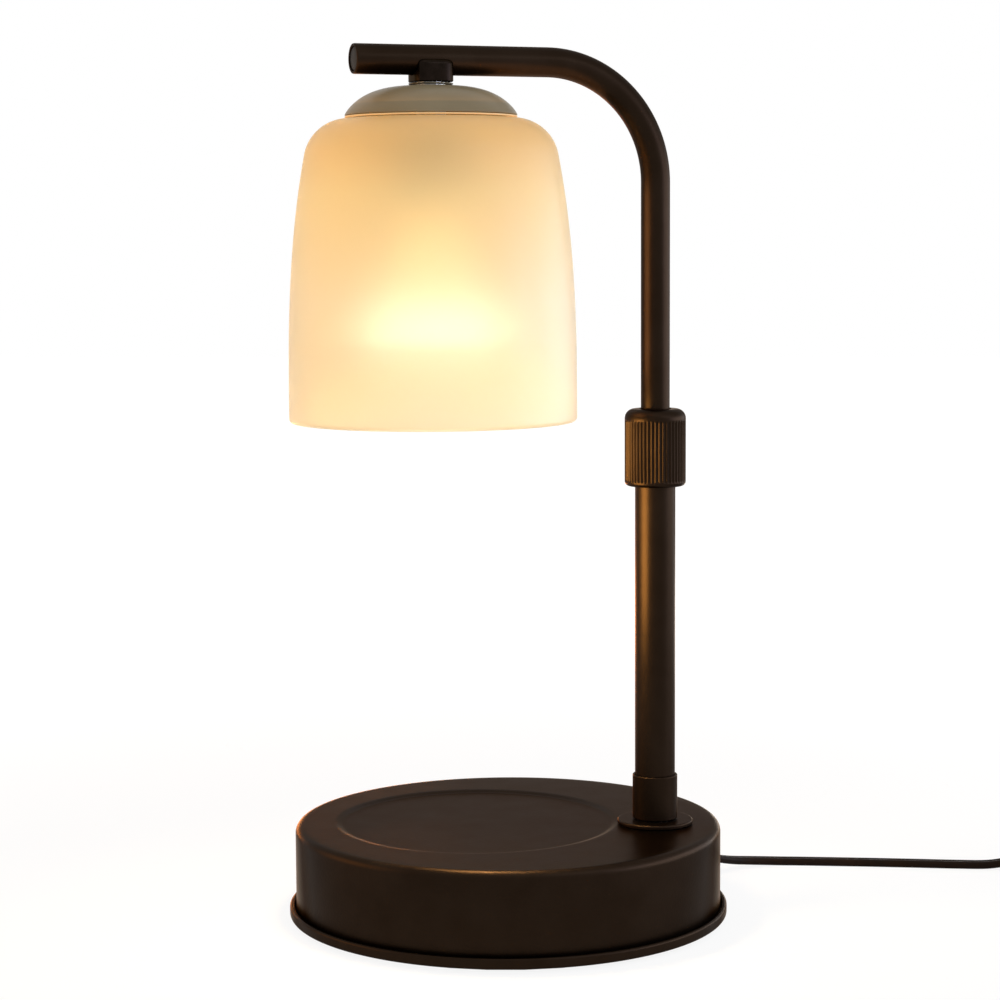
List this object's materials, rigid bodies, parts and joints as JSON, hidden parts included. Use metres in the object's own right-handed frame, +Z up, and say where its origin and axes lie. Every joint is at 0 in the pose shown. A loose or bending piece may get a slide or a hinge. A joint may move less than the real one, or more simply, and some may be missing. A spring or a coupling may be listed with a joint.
{
  "type": "candle warmer lamp",
  "caption": "Desk lamp that warms a candle from above: weighted round base, telescoping post, bent swing arm, frosted glass bell shade, flat cord with rotary dimmer.",
  "frame": {"origin": "centre of the round base, on the surface that the lamp stands on", "axes": "+Z up along the post, +X from the base's centre towards the post; the arm rests turned 27 degrees from -X towards -Y"},
  "size_m": [0.3778, 0.1796, 0.3025],
  "materials": {
    "black_paint": "satin powder coat",
    "dome_enamel": "gloss enamel",
    "frosted_glass": "frosted, warm amber tint",
    "clear_glass": "clear pressed glass",
    "zinc_steel": "zinc plated",
    "cast_iron": "as cast",
    "foam": "closed-cell foam sheet",
    "nylon": "moulded, natural",
    "silicone": "clear silicone",
    "fibre": "punched fibre board",
    "ceramic": "glazed steatite look",
    "cord_pvc": "extruded, satin",
    "lead_sleeve": "silicone sleeve",
    "black_abs": "moulded, fine texture",
    "brass": "stamped, bright",
    "board": "solder-masked"
  },
  "bodies": {
    "base": {"foot_pad": "foam", "base_plate": "black_paint", "base_shell": "black_paint", "counterweight": "cast_iron", "pillar_1": "zinc_steel", "pillar_2": "zinc_steel", "pillar_3": "zinc_steel", "plate_screw_1": "zinc_steel", "plate_screw_2": "zinc_steel", "plate_screw_3": "zinc_steel", "post_nipple": "zinc_steel", "lock_washer": "zinc_steel", "post_nut": "zinc_steel", "post_disc": "black_paint", "ferrule": "black_paint", "lower_tube": "black_paint", "collet": "nylon", "terminal_block": "nylon", "strain_relief": "cord_pvc", "mains_tail": "cord_pvc", "base_lead": "lead_sleeve", "lead_slack": "lead_sleeve", "lamp_cord": "cord_pvc", "dimmer_lower": "black_abs", "dimmer_upper": "black_abs", "dimmer_board": "board", "dimmer_screw_1": "zinc_steel", "dimmer_screw_2": "zinc_steel", "coil_lead": "cord_pvc", "cord_coil": "cord_pvc", "cord_tie": "cord_pvc", "plug_lead": "cord_pvc", "plug_body": "black_abs", "plug_blade_1": "brass", "plug_blade_2": "brass"},
    "lock_collar": {"lock_collar": "black_paint"},
    "slider": {"guide_bush": "nylon"},
    "arm": {"upper_tube": "black_paint", "arm_plug": "black_abs", "snap_ring": "zinc_steel", "neck": "black_paint", "neck_washer": "zinc_steel", "neck_tube": "zinc_steel", "dome_canopy": "dome_enamel", "shade_gasket": "silicone", "glass_shade": "frosted_glass", "seat_ring": "fibre", "clamp_washer": "zinc_steel", "clamp_nut": "zinc_steel", "holder_cup": "zinc_steel", "lamp_holder": "ceramic", "bulb_reflector": "clear_glass", "bulb_capsule": "clear_glass", "bulb_lens": "clear_glass", "bulb_pin_1": "brass", "bulb_pin_2": "brass", "arm_lead": "lead_sleeve"},
    "dial": {"dimmer_dial": "black_abs"}
  },
  "joints": [
    {"name": "collar_turn", "type": "hinge", "parent": "base", "child": "lock_collar", "pos_m": [0.052, 0, 0.166], "axis": [0, 0, 1], "range_deg": [0, 180]},
    {"name": "height_slide", "type": "slide", "parent": "base", "child": "slider", "axis": [0, 0, 1], "range_m": [-0.04, 0.04], "deforming": ["lead_slack"]},
    {"name": "arm_swing", "type": "hinge", "parent": "slider", "child": "arm", "pos_m": [0.052, 0, 0.107], "axis": [0, 0, 1], "range_deg": [-117, 63]},
    {"name": "dial_turn", "type": "hinge", "parent": "base", "child": "dial", "pos_m": [0.227, 0.0795, 0.0177], "axis": [0, 0, 1], "range_deg": [0, 270]}
  ]
}
